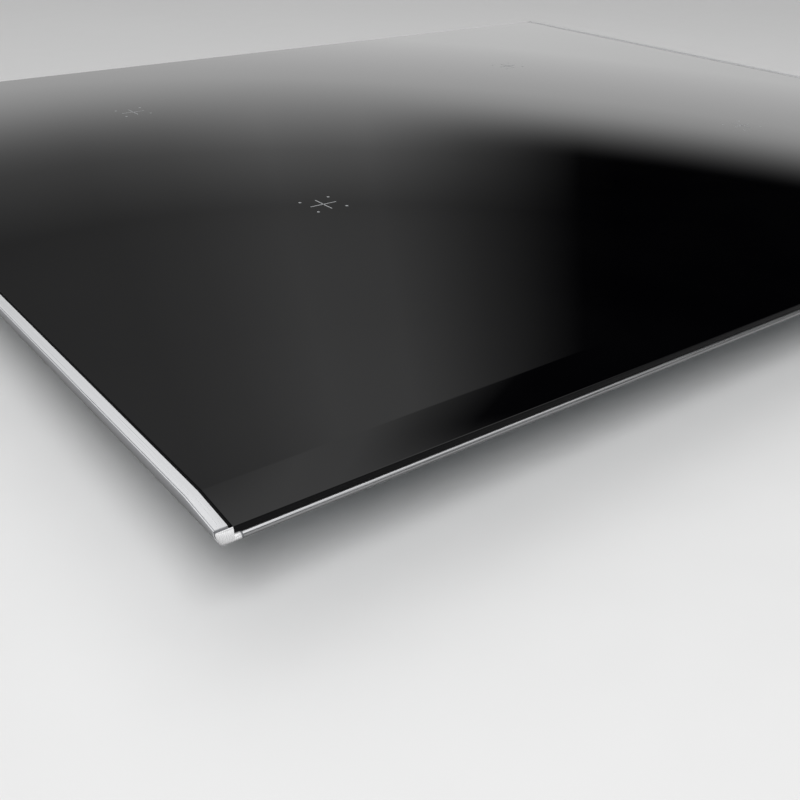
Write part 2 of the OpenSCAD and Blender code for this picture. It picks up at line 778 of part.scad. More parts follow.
module terminal_box() {
    front = tray_half_d - box_d + fine;
    rear = tray_in_d - fine;
    color("#3a3c3f") difference() {
        union() {
            box([box_x - box_w / 2, front, tray_t], [box_x + box_w / 2, rear, box_top]);
            translate([inlet_x, rear, inlet_z]) rotate([-90, 0, 0])
                rod(inlet_r + 3, -3, inlet_l - 3);
        }
        box([box_x - box_w / 2 + box_t, front + box_t, tray_t + box_t],
            [inlet_x - inlet_r - 5, rear + past, box_top - box_t]);
        box([inlet_x - inlet_r - 6, front + box_t, tray_t + box_t],
            [box_x + box_w / 2 - box_t, rear - 3, box_top - box_t]);
        translate([inlet_x, rear, inlet_z]) rotate([-90, 0, 0]) rod(inlet_r, -10, inlet_l + past);
    }
    // Ears and pins of the lid's hinge
    color("#3a3c3f") for (sx = [-1, 1]) translate([lid_x + sx * (lid[0] / 2 - 6), 0, 0]) {
        box([-2, rear - fine, hinge_z - ear_r], [2, hinge_y, hinge_z + ear_r]);
        translate([0, hinge_y, hinge_z]) rotate([0, 90, 0]) rod(ear_r, -2, 2);
        translate([0, hinge_y, hinge_z]) rotate([0, -90 * sx, 0]) rod(pin_r, 0, 12);
    }
}

module terminal_block() {
    ways = 6;
    w = 9;
    block_h = 14;
    screw_r = 2.4;
    core_r = 2;
    x = lid_x - ways * w / 2;
    y = tray_in_d - 30;
    z = tray_t + box_t;
    color("#e3e2db") difference() {
        box([x, y, z], [x + ways * w, y + 16, z + block_h]);
        for (i = [0:ways - 1]) translate([x + (i + 0.5) * w, y + 8, 0]) {
            rod(screw_r, z + 9, z + block_h + past);
            translate([0, 0, z + 5]) rotate([90, 0, 0]) rod(core_r, -9, 9);
        }
    }
}

module terminal_lid() {
    inner = hinge_y - lid_t / 2;
    knuckle_r = pin_r + 1.2;
    color("#3a3c3f") difference() {
        union() {
            box([lid_x - lid[0] / 2 + 1, inner, lid_z],
                [lid_x + lid[0] / 2 - 1, inner + lid_t, lid_z + lid[1]]);
            for (sx = [-1, 1]) translate([lid_x + sx * (lid[0] / 2 - 12) - 2.5, hinge_y, hinge_z]) {
                rotate([0, 90, 0]) rod(knuckle_r, 0, 5);
                box([0, -lid_t / 2, 0], [5, lid_t / 2, lid_z - hinge_z]);
            }
            // Grip lip
            box([lid_x - 8, inner + lid_t, lid_z + lid[1] - 2],
                [lid_x + 8, inner + lid_t + 2, lid_z + lid[1]]);
        }
        for (sx = [-1, 1]) translate([lid_x + sx * (lid[0] / 2 - 12) - 2.5, hinge_y, hinge_z])
            rotate([0, 90, 0]) rod(pin_r + running, -past, 5 + past);
    }
}

/* ---- clamps ---- */

// A clamp lies along the housing's wall with its arm in +Y, and swings out about its screw
module clamp() {
    tip = 5;
    color("#a5a9ad") difference() {
        union() {
            box([-clamp_w / 2, 0, clamp_z], [clamp_w / 2, clamp_l, clamp_z + clamp_t]);
            rod(clamp_w / 2, clamp_z, clamp_z + clamp_t);
            box([-clamp_w / 2, clamp_l - clamp_t, clamp_z], [clamp_w / 2, clamp_l, clamp_z + tip]);
            // Stiffening ribs
            for (x = [-clamp_w / 4, clamp_w / 4])
                box([x - 0.8, clamp_w / 2, clamp_z + clamp_t - fine],
                    [x + 0.8, clamp_l - 4, clamp_z + clamp_t + 0.8]);
        }
        rod(clamp_screw_r + running, clamp_z - past, clamp_z + clamp_t + past);
    }
}

module clamp_at(sx, sy) {
    translate([sx * pivot_x, sy * clamp_y, 0]) rotate(sx < 0 ? 0 : 180) clamp();
}

module clamp_screws() {
    color("#c2c4c6") for (p = clamp_places()) translate([p[0], p[1], 0]) {
        difference() {
            rod(head_r, clamp_z - fine - head_h, clamp_z - fine);
            for (a = [0, 90]) rotate(a)
                box([-3, -0.6, clamp_z - head_h - past], [3, 0.6, clamp_z - head_h + 1]);
        }
        rod(clamp_screw_r, clamp_z - fine, skirt_z + frame_t + 4);
        rod(nut_r, skirt_z - 5, skirt_z + frame_t + 2);
    }
}

/* ---- wiring ---- */

lead_r = 1.8;
lead_strip = 46; // half the width kept free of tall parts on the power board
board_rear = board_mid_y + board_half[1];

// A lead rises midway between the centre line and its coil unit's rim
function lead_x(c) = sign(c[0]) * (abs(c[0]) - c[2] - coil_rim) / 2;

// From the power board up, back to its coil where the coil is behind the board, up through the
// shield plate, and over in a quarter ellipse to the winding's rim
function lead_path(c) = let (
    x = lead_x(c),
    y0 = min(c[1], board_rear - 12),
    run = abs(x) - 0.8,
    rise = carrier_z + 2.5 - shield_top - 1) concat(
    [[x, y0, board_top]],
    y0 < c[1] - 20 ? concat(
        [for (a = [0:30:90]) [x, y0 + 6 - 6 * cos(a), 14 + 6 * sin(a)]],
        [for (a = [0:30:90]) [x, c[1] - 6 + 6 * sin(a), 26 - 6 * cos(a)]]) : [[x, c[1], 20]],
    [for (a = [0:15:90]) [x + sign(x) * run * (1 - cos(a)), c[1], shield_top + 1 + rise * sin(a)]]);

module wiring() {
    color("#8a2f26") for (c = COILS) sweep(lead_path(c), lead_r, 8, [1, 1, 0.3]);
    // Flat cable from the control unit down to the power board
    color("#6d6f73") {
        box([control_x + 12, control_rear - 3, control_board_z - 1],
            [control_x + 32, cable_y, control_board_z]);
        box([control_x + 12, cable_y - 1, board_top], [control_x + 32, cable_y, control_board_z - 0.5]);
    }
}

glass_plate();
side_trim();  // side_trim_left
mirror([1, 0, 0]) side_trim();  // side_trim_right
front_trim();
mirror([0, 1, 0]) front_trim();  // rear_trim
corner_cap(overall_h - bevel_drop);  // corner_cap_front_left
mirror([1, 0, 0]) corner_cap(overall_h - bevel_drop);  // corner_cap_front_right
mirror([0, 1, 0]) corner_cap(overall_h);  // corner_cap_rear_left
rotate(180) corner_cap(overall_h);  // corner_cap_rear_right
joint_gaskets();
edge_sealant();
worktop_seal();
carrier_frame();
bonding_bead();
housing_tray();
tray_screws();
shield_plate();
winding(FRONT_LEFT);  // winding_front_left
winding(REAR_LEFT);  // winding_rear_left
winding(FRONT_RIGHT);  // winding_front_right
winding(REAR_RIGHT);  // winding_rear_right
coil_carrier(FRONT_LEFT);  // coil_carrier_front_left
coil_carrier(REAR_LEFT);  // coil_carrier_rear_left
coil_carrier(FRONT_RIGHT);  // coil_carrier_front_right
coil_carrier(REAR_RIGHT);  // coil_carrier_rear_right
ferrites(FRONT_LEFT);  // ferrites_front_left
ferrites(REAR_LEFT);  // ferrites_rear_left
ferrites(FRONT_RIGHT);  // ferrites_front_right
ferrites(REAR_RIGHT);  // ferrites_rear_right
mica(FRONT_LEFT);  // mica_front_left
mica(REAR_LEFT);  // mica_rear_left
mica(FRONT_RIGHT);  // mica_front_right
mica(REAR_RIGHT);  // mica_rear_right
pan_sensor(FRONT_LEFT);  // pan_sensor_front_left
pan_sensor(REAR_LEFT);  // pan_sensor_rear_left
pan_sensor(FRONT_RIGHT);  // pan_sensor_front_right
pan_sensor(REAR_RIGHT);  // pan_sensor_rear_right
springs(FRONT_LEFT);  // springs_front_left
springs(REAR_LEFT);  // springs_rear_left
springs(FRONT_RIGHT);  // springs_front_right
springs(REAR_RIGHT);  // springs_rear_right
control_carrier();
control_board();
electronics_base();
power_board();
heat_sink();
transistors();
capacitors();
chokes();
fan_housing();
fan_rotor();
terminal_box();
terminal_block();
terminal_lid();
clamp_at(-1, -1);  // clamp_front_left
clamp_at(-1, 1);  // clamp_rear_left
clamp_at(1, -1);  // clamp_front_right
clamp_at(1, 1);  // clamp_rear_right
clamp_screws();
wiring();
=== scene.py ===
# A built-in electric induction cooktop of the 600 mm class, put together in the order of its
# assembly: the sheet-metal housing and what it holds, the coil units, the control unit, the
# carrier frame, and last the glass plate with its metal rim. Metres, +Z up, front towards -Y.
import math

import bmesh
import bpy
import numpy as np
from mathutils import Matrix, Vector


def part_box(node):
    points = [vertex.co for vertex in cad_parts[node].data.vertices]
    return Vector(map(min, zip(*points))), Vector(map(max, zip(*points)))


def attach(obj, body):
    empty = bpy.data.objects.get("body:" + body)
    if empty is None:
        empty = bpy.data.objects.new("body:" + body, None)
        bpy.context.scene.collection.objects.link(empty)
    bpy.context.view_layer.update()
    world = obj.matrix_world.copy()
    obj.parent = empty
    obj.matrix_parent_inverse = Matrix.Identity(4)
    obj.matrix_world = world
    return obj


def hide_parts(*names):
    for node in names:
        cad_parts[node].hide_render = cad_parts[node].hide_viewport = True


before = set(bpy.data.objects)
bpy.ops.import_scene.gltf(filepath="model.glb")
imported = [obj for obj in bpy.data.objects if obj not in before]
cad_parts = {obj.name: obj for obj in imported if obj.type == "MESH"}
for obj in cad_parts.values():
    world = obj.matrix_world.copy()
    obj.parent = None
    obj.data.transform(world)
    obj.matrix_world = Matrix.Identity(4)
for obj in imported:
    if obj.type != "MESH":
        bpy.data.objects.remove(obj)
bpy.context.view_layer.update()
MM = 0.001
COILS = ["front_left", "rear_left", "front_right", "rear_right"]


# ---- housing tray ----
# The tray is folded from galvanised sheet steel with punched ventilation slots, and ten
# pan-head screws hold its flange to the carrier frame. Its cut edges are slightly rounded.

def paint(code):
    """A colour from its six hexadecimal digits, brought from the display's scale to linear light."""
    part = [int(code[i:i + 2], 16) / 255 for i in (0, 2, 4)]
    return [c / 12.92 if c <= 0.04045 else ((c + 0.055) / 1.055) ** 2.4 for c in part] + [1.0]


def start(name):
    """A new material, its node tree and its main shader."""
    made = bpy.data.materials.new(name)
    made.use_nodes = True
    return made, made.node_tree, made.node_tree.nodes["Principled BSDF"]


def add(tree, kind, settings=(), **inputs):
    """Adds a shader node. An input that is another node's output is linked, any other is a
    constant."""
    made = tree.nodes.new("ShaderNode" + kind)
    for key, value in dict(settings).items():
        setattr(made, key, value)
    for key, value in inputs.items():
        socket = made.inputs[key.replace("_", " ")]
        if isinstance(value, bpy.types.NodeSocket):
            tree.links.new(value, socket)
        else:
            socket.default_value = value
    return made


def placed(tree, scale, stretch=(1, 1, 1), origin=(0, 0, 0)):
    """The piece's own coordinates from an origin, times a scale, drawn out where stretch is under 1."""
    where = add(tree, "TexCoord").outputs["Object"]
    size = [scale * s for s in stretch]
    away = [-o * s for o, s in zip(origin, size)]
    return add(tree, "Mapping", Vector=where, Scale=size, Location=away).outputs["Vector"]


def noise(tree, scale, stretch=(1, 1, 1), detail=3.0):
    """Soft noise with about scale features to the metre."""
    where = placed(tree, scale, stretch)
    return add(tree, "TexNoise", Vector=where, Scale=1.0, Detail=detail).outputs[0]


def spread(tree, value, low, high, first=0.35, last=0.65):
    """A value's stretch from first to last laid over low to high."""
    return add(tree, "MapRange", Value=value, From_Min=first, From_Max=last,
               To_Min=low, To_Max=high).outputs["Result"]


def shades(tree, value, colours, first=0.35, last=0.65):
    """A value's stretch from first to last laid over a row of colours, evenly spaced."""
    ramp = tree.nodes.new("ShaderNodeValToRGB")
    stops = ramp.color_ramp.elements
    while len(stops) < len(colours):
        stops.new(0.5)
    for i, colour in enumerate(colours):
        stops[i].position = first + (last - first) * i / (len(colours) - 1)
        stops[i].color = colour
    tree.links.new(value, ramp.inputs["Fac"])
    return ramp.outputs["Color"]


def dimmed(colour, share):
    """A colour with its light made stronger or weaker by a share."""
    return [min(1.0, c * (1 + share)) for c in colour[:3]] + [1.0]


def finish(name, colour, metallic, roughness, grain, stretch=(1, 1, 1), mottle=0.08, wear=0.06,
           depth=0.0, **constants):
    """A finish whose colour drifts with broad noise and whose gloss and relief follow a fine grain,
    grain features to the metre. depth is the relief in metres."""
    made, tree, shader = start(name)
    broad = noise(tree, grain / 20, stretch)
    fine = noise(tree, grain, stretch)
    base = paint(colour)
    tints = shades(tree, broad, [dimmed(base, -mottle), dimmed(base, mottle)])
    tree.links.new(tints, shader.inputs["Base Color"])
    tree.links.new(spread(tree, fine, roughness - wear, roughness + wear), shader.inputs["Roughness"])
    if depth:
        relief = add(tree, "Bump", Height=fine, Distance=depth, Strength=1.0)
        tree.links.new(relief.outputs["Normal"], shader.inputs["Normal"])
    shader.inputs["Metallic"].default_value = metallic
    for key, value in constants.items():
        shader.inputs[key.replace("_", " ")].default_value = value
    return made


def galvanised(name, crystal, dark, light):
    """Zinc spangle: each cell of a warped cell pattern has its own grey and its own gloss."""
    made, tree, shader = start(name)
    bend = add(tree, "VectorMath", {"operation": "ADD"})
    tree.links.new(placed(tree, 1 / crystal), bend.inputs[0])
    drift = add(tree, "TexNoise", Vector=placed(tree, 1.6 / crystal), Scale=1.0)
    tree.links.new(drift.outputs["Color"], bend.inputs[1])
    cells = add(tree, "TexVoronoi", Vector=bend.outputs["Vector"], Scale=1.0)
    tone = add(tree, "RGBToBW", Color=cells.outputs["Color"]).outputs["Val"]
    greys = shades(tree, tone, [paint(dark), paint(light)], 0.1, 0.9)
    tree.links.new(greys, shader.inputs["Base Color"])
    tree.links.new(spread(tree, tone, 0.34, 0.52, 0.1, 0.9), shader.inputs["Roughness"])
    relief = add(tree, "Bump", Height=noise(tree, 900), Distance=4e-6, Strength=1.0)
    tree.links.new(relief.outputs["Normal"], shader.inputs["Normal"])
    shader.inputs["Metallic"].default_value = 0.92
    return made


def dress(material, *nodes):
    """Gives CAD nodes that keep their own mesh their material."""
    for node in nodes:
        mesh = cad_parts[node].data
        mesh.materials.clear()
        mesh.materials.append(material)


def eased(name, node, material, body, radius, bevel_steps=2):
    """Stands for a CAD node with a copy of it whose loose triangles are merged, whose flats are
    joined, and whose edges over 30 degrees are rounded off."""
    work = bmesh.new()
    work.from_mesh(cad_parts[node].data)
    bmesh.ops.remove_doubles(work, verts=work.verts, dist=0.002 * MM)
    bmesh.ops.dissolve_limit(work, angle_limit=math.radians(0.5), verts=work.verts, edges=work.edges)
    mesh = bpy.data.meshes.new(name)
    work.to_mesh(mesh)
    work.free()
    mesh.shade_smooth()
    mesh.set_sharp_from_angle(angle=math.radians(32))
    mesh.materials.clear()
    mesh.materials.append(material)
    made = bpy.data.objects.new(name, mesh)
    bpy.context.scene.collection.objects.link(made)
    rounding = made.modifiers.new("rounding", "BEVEL")
    rounding.width = radius
    rounding.segments = bevel_steps
    rounding.limit_method = "ANGLE"
    rounding.angle_limit = math.radians(32)
    rounding.harden_normals = True
    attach(made, body)
    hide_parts(node)
    return made


spangle = galvanised("zinc_spangle", 14 * MM, "8f9498", "c4c8ca")
zinc_screw = finish("zinc_plated_screw", "c9ccd0", 0.95, 0.27, 2600, mottle=0.05, depth=1e-6)
eased("tray_folding", "housing_tray", spangle, "housing", 0.2 * MM)
eased("flange_screws", "tray_screws", zinc_screw, "housing", 0.25 * MM)


# ---- electronics ----
# A moulded base stands in the tray and carries the power board: filter chokes, film and
# electrolytic capacitors, and power transistors clipped to an extruded heat sink.

def circuit_board(name, mask, copper):
    """Solder mask with rows of tracks: a brick pattern's joints, paler where copper lies beneath."""
    made, tree, shader = start(name)
    tracks = add(tree, "TexBrick", Vector=placed(tree, 90, (1, 2.2, 1)), Scale=1.0, Mortar_Size=0.05,
                 Color1=paint(mask), Color2=dimmed(paint(mask), -0.18), Mortar=paint(copper))
    tree.links.new(tracks.outputs["Color"], shader.inputs["Base Color"])
    tree.links.new(spread(tree, noise(tree, 700), 0.22, 0.4), shader.inputs["Roughness"])
    relief = add(tree, "Bump", Height=tracks.outputs["Fac"], Distance=2e-5, Strength=1.0)
    tree.links.new(relief.outputs["Normal"], shader.inputs["Normal"])
    return made


def lacquered_wire(name, colour, pitch, origin, around):
    """Wire lying turn beside turn: dark lines a pitch apart, in rings about an origin or in bands."""
    made, tree, shader = start(name)
    settings = {"wave_type": "RINGS" if around else "BANDS", "rings_direction": "Z"}
    lines = add(tree, "TexWave", settings, Vector=placed(tree, 1 / pitch, origin=origin),
                Scale=0.314, Distortion=1.2, Detail=2.0).outputs["Fac"]
    tints = shades(tree, lines, [dimmed(paint(colour), -0.5), paint(colour)], 0.0, 0.5)
    tree.links.new(tints, shader.inputs["Base Color"])
    tree.links.new(spread(tree, lines, 0.5, 0.3), shader.inputs["Roughness"])
    relief = add(tree, "Bump", Height=lines, Distance=0.1 * MM, Strength=1.0)
    tree.links.new(relief.outputs["Normal"], shader.inputs["Normal"])
    shader.inputs["Metallic"].default_value = 0.7
    shader.inputs["Coat Weight"].default_value = 0.4
    return made


base_moulding = finish("base_moulding", "2a2b2d", 0.0, 0.5, 1400, mottle=0.1, depth=6e-6)
dress(base_moulding, "electronics_base")
dress(circuit_board("power_solder_mask", "1f5a34", "3f8a4f"), "power_board")
dress(finish("extruded_heat_sink", "c3c7cb", 0.95, 0.34, 2200, (1, 0.03, 1), depth=3e-6), "heat_sink")
dress(finish("transistor_epoxy", "1b1c1e", 0.0, 0.42, 3000, depth=4e-6), "transistors")
dress(finish("capacitor_sleeve", "2b4b78", 0.0, 0.32, 900, mottle=0.14), "capacitors")
dress(lacquered_wire("choke_wire", "b0642c", 1.1 * MM, (0, 0, 0), False), "chokes")


# ---- blower ----
# A radial blower draws air through the tray's floor. The scroll is moulded in glass-filled
# plastic, and the wheel spins on the scroll's fixed shaft.

dress(finish("scroll_plastic", "303235", 0.0, 0.46, 1600, mottle=0.1, depth=5e-6), "fan_housing")
dress(finish("wheel_plastic", "3a3d41", 0.0, 0.4, 1800, mottle=0.1, depth=4e-6), "fan_rotor")


# ---- mains connection ----
# The terminal box holds a six-way screw block and the cable inlet's collar. Its lid turns on
# two pins behind the housing and covers the window over the block.

box_plastic = finish("terminal_box_plastic", "37393c", 0.0, 0.44, 1700, mottle=0.08, depth=6e-6)
block_plastic = finish("terminal_block_plastic", "e3e2db", 0.0, 0.38, 1500, mottle=0.03, depth=3e-6)
eased("terminal_case", "terminal_box", box_plastic, "housing", 0.25 * MM)
eased("terminal_cover", "terminal_lid", box_plastic, "mains_lid", 0.25 * MM)
eased("screw_block", "terminal_block", block_plastic, "housing", 0.25 * MM)


# ---- wiring ----
# Four silicone-insulated leads run from the power board to the coils, and a flat cable runs
# to the control unit.

dress(finish("silicone_insulation", "8a2f26", 0.0, 0.48, 1200, mottle=0.12), "wiring")


# ---- shield plate ----
# An aluminium plate above the electronics keeps the coils' stray field out, and its pegs
# centre the springs.

dress(finish("rolled_aluminium", "c8cbce", 0.95, 0.36, 1500, (0.04, 1, 1), depth=2e-6), "shield_plate")


# ---- coil units ----
# Each unit rests on three springs, which press it up against the glass: a carrier with nine
# ferrite bars below, the litz winding, a mica sheet, and a sensor in a silicone boot.

dress(finish("carrier_thermoset", "d6d0bd", 0.0, 0.52, 1300, mottle=0.05, depth=5e-6),
      *["coil_carrier_" + c for c in COILS])
dress(finish("ferrite", "37383a", 0.15, 0.56, 2400, mottle=0.18, depth=1e-5),
      *["ferrites_" + c for c in COILS])
dress(finish("mica_flakes", "cdbd93", 0.0, 0.32, 700, mottle=0.22, wear=0.12, Coat_Weight=0.5),
      *["mica_" + c for c in COILS])
dress(finish("sensor_silicone", "b5b8bc", 0.0, 0.55, 1500, mottle=0.06),
      *["pan_sensor_" + c for c in COILS])
dress(finish("spring_wire", "9fa3a6", 0.95, 0.28, 2600, mottle=0.08), *["springs_" + c for c in COILS])
for coil in COILS:
    low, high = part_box("winding_" + coil)
    dress(lacquered_wire("litz_" + coil, "b3672e", 0.8 * MM, (low + high) / 2, True), "winding_" + coil)


# ---- control unit ----
# A moulded carrier under the glass's front edge holds the touch board: eleven sprung touch
# pads in a row, with four digit displays behind them.

dress(finish("control_carrier_plastic", "242527", 0.0, 0.5, 1500, depth=5e-6), "control_carrier")
dress(circuit_board("control_solder_mask", "1a4d30", "35774a"), "control_board")


# ---- carrier frame ----
# The frame is drawn from galvanised sheet. Its flange is bonded under the glass and sits on
# the worktop on a foam strip, and its skirt goes down into the cut-out.

eased("frame_pressing", "carrier_frame", spangle, "housing", 0.2 * MM)
dress(finish("foam_strip", "1d1d1e", 0.0, 0.9, 2200, mottle=0.25, depth=6e-5), "worktop_seal")
dress(finish("adhesive_bead", "202021", 0.0, 0.6, 300, mottle=0.1, depth=2e-5), "bonding_bead")


# ---- clamps ----
# Four stamped clamps swing out under the worktop when their screws are tightened from below.

stamped = finish("stamped_zinc", "a9adb1", 0.95, 0.36, 1500, mottle=0.08, depth=3e-6)
for coil in COILS:
    eased("clamp_leaf_" + coil, "clamp_" + coil, stamped, "swivel_clamp_" + coil,
          0.3 * MM)
eased("clamp_bolts", "clamp_screws", zinc_screw, "housing", 0.25 * MM)


# ---- glass plate ----
# The plate is black glass-ceramic, 4 mm thick. A wide bevel is ground and polished along its
# front edge, the narrow faces round the plate are ground matt, and every arris is eased.

def fillet(centre, radius, first, last, steps=6):
    """Points on an arc: the centre plus the radius turned from the first angle to the last."""
    turn = np.radians(np.linspace(first, last, steps + 1))
    return np.stack([centre[0] + radius * np.cos(turn), centre[1] + radius * np.sin(turn)], -1)


def drawn_in(profile, margin):
    """A closed profile moved inwards: each corner goes along the two edges' mitre by the margin."""
    edge = np.roll(profile, -1, 0) - profile
    edge /= np.linalg.norm(edge, axis=1, keepdims=True)
    turned = np.stack([-edge[:, 1], edge[:, 0]], -1)
    x, y = profile.T
    area = np.sum(x * np.roll(y, -1) - y * np.roll(x, -1))
    turned *= np.sign(area)
    before = np.roll(turned, 1, 0)
    mitre = (turned + before) / (1 + np.sum(turned * before, axis=1, keepdims=True))
    return profile + margin * mitre


def carried(profile, axis, first, last, arris, steps=4):
    """A closed profile carried along X or Y, and drawn in over its first and last arris as a
    quarter round. Its columns are the other horizontal axis and Z."""
    turn = np.radians(np.linspace(90, 0, steps + 1))
    place = arris * (1 - np.sin(turn))
    kept = np.sqrt(arris ** 2 - (arris - place) ** 2)
    shapes = np.array([drawn_in(profile, arris - k) for k in kept])
    rings = np.zeros((2 * len(turn), len(profile), 3))
    rings[:, :, axis] = np.concatenate([first + place, last - place[::-1]])[:, None]
    rings[:, :, 1 - axis] = np.concatenate([shapes, shapes[::-1]])[:, :, 0]
    rings[:, :, 2] = np.concatenate([shapes, shapes[::-1]])[:, :, 1]
    return rings


def piece(name, shells, material, body, replaced=(), flat_over=0.8 * MM, sharp=35):
    """A piece of closed shells. A shell is a grid of points, rings by points by three: each ring
    joins the next, and the end rings are closed by a face each. Steps longer than flat_over are
    shaded flat, shorter ones smooth up to the sharp angle."""
    points, faces, smooth, base = [], [], [], 0
    for rings in shells:
        count, around = rings.shape[:2]
        ring, step = np.meshgrid(np.arange(count - 1), np.arange(around), indexing="ij")
        here = base + ring * around + step
        along = base + ring * around + (step + 1) % around
        faces += np.stack([here, along, along + around, here + around], -1).reshape(-1, 4).tolist()
        stride = np.linalg.norm(np.roll(rings, -1, 1) - rings, axis=2)[:-1]
        smooth += (stride < flat_over).ravel().tolist() + [False, False]
        faces += [list(range(base, base + around)),
                  list(range(base + (count - 1) * around, base + count * around))]
        points.append(rings.reshape(-1, 3))
        base += count * around
    mesh = bpy.data.meshes.new(name)
    mesh.from_pydata(np.concatenate(points).tolist(), [], faces)
    mesh.polygons.foreach_set("use_smooth", smooth)
    work = bmesh.new()
    work.from_mesh(mesh)
    bmesh.ops.recalc_face_normals(work, faces=work.faces)
    work.to_mesh(mesh)
    work.free()
    mesh.set_sharp_from_angle(angle=math.radians(sharp))
    mesh.materials.append(material)
    made = bpy.data.objects.new(name, mesh)
    bpy.context.scene.collection.objects.link(made)
    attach(made, body)
    if replaced:
        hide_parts(*replaced)
    return made


def second_finish(made, material, chosen):
    """Gives a second material to the faces whose middle and outward normal are chosen."""
    made.data.materials.append(material)
    for face in made.data.polygons:
        if chosen(face.center, face.normal):
            face.material_index = 1


def black_glass(name):
    """Polished black glass with the faintest drift of gloss from cleaning."""
    made, tree, shader = start(name)
    film = noise(tree, 14, detail=5.0)
    tree.links.new(shades(tree, film, [paint("020203"), paint("040405")]), shader.inputs["Base Color"])
    tree.links.new(spread(tree, film, 0.012, 0.03), shader.inputs["Roughness"])
    shader.inputs["IOR"].default_value = 1.53
    return made


glass_low, glass_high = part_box("glass_plate")
bevel_width = 16.8 * MM
bevel_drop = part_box("corner_cap_rear_left")[1].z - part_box("corner_cap_front_left")[1].z
print_depth = 0.02 * MM  # how far the printed marks stand above the glass
glass_top = glass_high.z - print_depth
slope = bevel_drop / bevel_width
lean = math.degrees(math.atan(slope))
arris = 0.4 * MM
crease = 6 * MM  # radius that blends the bevel into the top
edge_top = glass_top - bevel_drop
front_arris = (glass_low.y + arris, edge_top + arris * slope - arris * math.hypot(1, slope))
blend = crease * math.tan(math.radians(lean) / 2)
glass_profile = np.concatenate([
    [[glass_low.y + 0.2 * MM, glass_low.z], [glass_low.y, glass_low.z + 0.2 * MM]],
    fillet(front_arris, arris, 180, 90 + lean, 8),
    fillet((glass_low.y + bevel_width + blend, glass_top - crease), crease, 90 + lean, 90, 4),
    fillet((glass_high.y - arris, glass_top - arris), arris, 90, 0),
    [[glass_high.y, glass_low.z + 0.2 * MM], [glass_high.y - 0.2 * MM, glass_low.z]],
])
polished_glass = black_glass("black_glass_ceramic")
ground_glass = finish("ground_glass_edge", "030304", 0.0, 0.42, 3000, mottle=0.2, depth=2e-6, IOR=1.18)
slab = piece("glass_slab", [carried(glass_profile, 0, glass_low.x, glass_high.x, 0.15 * MM)],
             polished_glass, "housing", ["glass_plate"])
second_finish(slab, ground_glass, lambda middle, normal: abs(normal.z) < 0.3)
dress(finish("black_silicone", "060607", 0.0, 0.8, 900, mottle=0.2, depth=6e-6, IOR=1.25), "edge_sealant")


# ---- side trims ----
# The side trims are extruded and brushed along their length. Each has a flat top, a hairline
# groove inside its outer arris, a side that curls under, and a foot glued beneath the glass.

side_curl, curl_power = 1.6 * MM, 2.1  # how far the side moves in, and with which power of depth


def side_section(width, height, top_drop=0.0, groove=True):
    """The trim's section, in from its outer face and up from the worktop. The side moves in by a
    power of the depth below the top. Only what lies below the top's features is squeezed by the
    drop."""
    lip = 0.2 * MM
    depth = np.linspace(0.06, 0.94, 23)
    side = np.stack([side_curl * depth ** curl_power, height * (1 - depth)], -1)[::-1]
    under = np.array([[width, 0], [side_curl + 0.35 * MM, 0], [side_curl + 0.1 * MM, 0.07 * MM]])
    top = fillet((lip, height - lip), lip, 180, 90, 5)
    cut = [np.array([[0.21, 0], [0.23, -0.32], [0.5, -0.32], [0.53, 0]]) * MM + [0, height]]
    round_in = 0.12 * MM
    inner = fillet((width - round_in, height - round_in), round_in, 90, 0, 3)
    shape = np.concatenate([under, side, top] + (cut if groove else []) + [inner])
    features = height - 0.6 * MM
    shape[:, 1] = (np.minimum(shape[:, 1], features) * (features - top_drop) / features
                   + np.maximum(shape[:, 1] - features, 0))
    return shape


def brushed(name, colour, roughness, stretch, depth, scratch, metallic=1.0, below=1.0,
            turned=(-1.0, 1.0)):
    """Brushed metal: long fine streaks in the gloss and relief, and a few longer, broader ones. As the
    normal's Z falls from the second value of turned to the first, the colour falls to the share below
    with the square of the way left: painted shade, darkening the faces that turn down."""
    made, tree, shader = start(name)
    streaks = noise(tree, 5200, stretch, 4.0)
    bands = noise(tree, 900, stretch, 2.0)
    base = paint(colour)
    clean = shades(tree, bands, [dimmed(base, -scratch), dimmed(base, scratch / 2)])
    # Painted shade: the colour is darkened by the share below where the normal turns down.
    normal = add(tree, "NewGeometry").outputs["Normal"]
    facing = add(tree, "SeparateXYZ", Vector=normal).outputs["Z"]
    way = spread(tree, facing, 0.0, 1.0, *turned)
    square = add(tree, "Math", {"operation": "MULTIPLY"})
    tree.links.new(way, square.inputs[0])
    tree.links.new(way, square.inputs[1])
    share = spread(tree, square.outputs[0], below, 1.0, 0.0, 1.0)
    painted_shade_colour = add(tree, "VectorMath", {"operation": "SCALE"}, Scale=share)
    tree.links.new(clean, painted_shade_colour.inputs[0])
    tree.links.new(painted_shade_colour.outputs["Vector"], shader.inputs["Base Color"])
    tree.links.new(spread(tree, streaks, roughness - 0.07, roughness + 0.09), shader.inputs["Roughness"])
    relief = add(tree, "Bump", Height=streaks, Distance=depth, Strength=1.0)
    tree.links.new(relief.outputs["Normal"], shader.inputs["Normal"])
    shader.inputs["Metallic"].default_value = metallic
    return made


